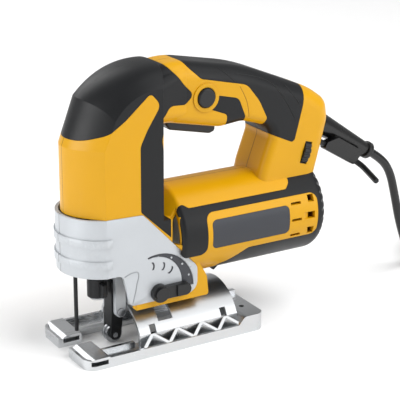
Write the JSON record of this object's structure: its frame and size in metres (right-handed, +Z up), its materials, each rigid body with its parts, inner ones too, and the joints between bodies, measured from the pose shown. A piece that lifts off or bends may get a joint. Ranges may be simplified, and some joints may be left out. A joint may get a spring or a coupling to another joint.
{
  "type": "jigsaw power tool",
  "caption": "Corded jigsaw with a closed top handle, round motor barrel, silver gear cover, tilting forked sole and a stroking blade clamp behind a finger guard.",
  "frame": {"origin": "centre of the sole's underside", "axes": "front, where the blade goes, is -X; the tool's left side is -Y; up is +Z"},
  "size_m": [0.4561, 0.108, 0.2121],
  "materials": {
    "yellow_shell": "moulded satin",
    "black_rubber": "matt overmould",
    "black_plastic": "moulded satin",
    "grey_plate": "matt",
    "silver_cover": "silver-grey satin",
    "cast_aluminium": "polished casting",
    "steel": "ground",
    "dark_steel": "black oxide",
    "lamination": "stacked sheet",
    "copper": "enamelled copper",
    "bronze": "sintered bronze",
    "white_plastic": "moulded",
    "carbon": "pressed carbon",
    "board": "circuit board"
  },
  "bodies": {
    "housing": {"bevel_clamp_plate": "dark_steel", "bevel_clamp_screw": "dark_steel", "brush_holders": "black_plastic", "brushes": "carbon", "case_foot": "cast_aluminium", "coil_tie": "black_plastic", "cord_clamp": "black_plastic", "cord_coil": "black_rubber", "field_coils": "copper", "finger_guard": "steel", "finger_pad_left": "black_rubber", "finger_pad_right": "black_rubber", "fork_pin": "steel", "front_bearing": "steel", "gear_axle": "steel", "gear_case": "cast_aluminium", "gear_cover_left": "silver_cover", "gear_cover_right": "silver_cover", "handle_grip_left": "black_rubber", "handle_grip_right": "black_rubber", "housing_left": "yellow_shell", "housing_right": "yellow_shell", "housing_screws": "dark_steel", "motor_sleeve_left": "black_rubber", "motor_sleeve_right": "black_rubber", "nose_grip_left": "black_rubber", "nose_grip_right": "black_rubber", "plug_body": "black_rubber", "plug_pins": "steel", "plunger_bush_lower": "bronze", "plunger_bush_upper": "bronze", "power_cord": "black_rubber", "rear_bearing": "steel", "side_plate": "grey_plate", "speed_board": "board", "stator_core": "lamination", "strain_relief": "black_rubber", "switch_module": "black_plastic", "trigger_pin": "steel"},
    "sole": {"sole_plate": "cast_aluminium", "bevel_saddle": "steel"},
    "armature": {"armature_shaft": "steel", "pinion": "steel", "armature_core": "lamination", "armature_windings": "copper", "commutator": "copper", "fan": "white_plastic"},
    "crank_gear": {"drive_gear": "steel"},
    "plunger": {"plunger": "steel", "blade_clamp_body": "steel"},
    "clamp_collar": {"blade_clamp_collar": "dark_steel"},
    "fork": {"roller_fork": "dark_steel", "roller_pin": "steel"},
    "roller": {"guide_roller": "steel"},
    "trigger": {"trigger": "black_plastic"},
    "lock_button": {"lock_button": "black_plastic"},
    "speed_dial": {"speed_dial": "black_plastic"},
    "selector": {"selector_lever": "black_plastic"},
    "hex_key": {"hex_key": "dark_steel"}
  },
  "joints": [
    {"name": "sole_bevel", "type": "hinge", "parent": "housing", "child": "sole", "pos_m": [0, 0, 0], "axis": [1, 0, 0], "range_deg": [-45, 45]},
    {"name": "armature_spin", "type": "hinge", "parent": "housing", "child": "armature", "pos_m": [0, 0, 0.082], "axis": [1, 0, 0], "continuous": true},
    {"name": "crank_spin", "type": "hinge", "parent": "housing", "child": "crank_gear", "pos_m": [0, 0, 0.10785], "axis": [1, 0, 0], "continuous": true},
    {"name": "plunger_stroke", "type": "slide", "parent": "housing", "child": "plunger", "axis": [0, 0, 1], "range_m": [-0.01, 0.01]},
    {"name": "collar_twist", "type": "hinge", "parent": "plunger", "child": "clamp_collar", "pos_m": [-0.0475, 0, 0.047], "axis": [0, 0, -1], "range_deg": [0, 60], "stiffness_Nm_per_rad": 0.05},
    {"name": "fork_swing", "type": "hinge", "parent": "housing", "child": "fork", "pos_m": [-0.0335, 0, 0.027], "axis": [0, 1, 0], "range_deg": [0, 7], "stiffness_Nm_per_rad": 0.3, "springref_deg": -2.86},
    {"name": "roller_spin", "type": "hinge", "parent": "fork", "child": "roller", "pos_m": [-0.036, 0, 0.0072], "axis": [0, 1, 0], "continuous": true},
    {"name": "trigger_pull", "type": "hinge", "parent": "housing", "child": "trigger", "pos_m": [0.012, 0, 0.173], "axis": [0, -1, 0], "range_deg": [0, 8], "stiffness_Nm_per_rad": 1.2, "springref_deg": -8.59},
    {"name": "lock_press", "type": "slide", "parent": "housing", "child": "lock_button", "axis": [0, 1, 0], "range_m": [0, 0.003], "stiffness_N_per_m": 400, "springref_m": -0.002},
    {"name": "dial_turn", "type": "hinge", "parent": "housing", "child": "speed_dial", "pos_m": [0.1215, -0.0095, 0.1285], "axis": [0.96, 0, -0.28], "range_deg": [-110, 110]},
    {"name": "selector_turn", "type": "hinge", "parent": "housing", "child": "selector", "pos_m": [-0.013, -0.033, 0.046], "axis": [0, -1, 0], "range_deg": [0, 100]},
    {"name": "key_slide", "type": "slide", "parent": "housing", "child": "hex_key", "axis": [0.8569, 0, -0.5155], "range_m": [0, 0.04]}
  ],
  "couplings": [
    {"joint": "crank_spin", "follows": "armature_spin", "ratio": -0.25}
  ]
}
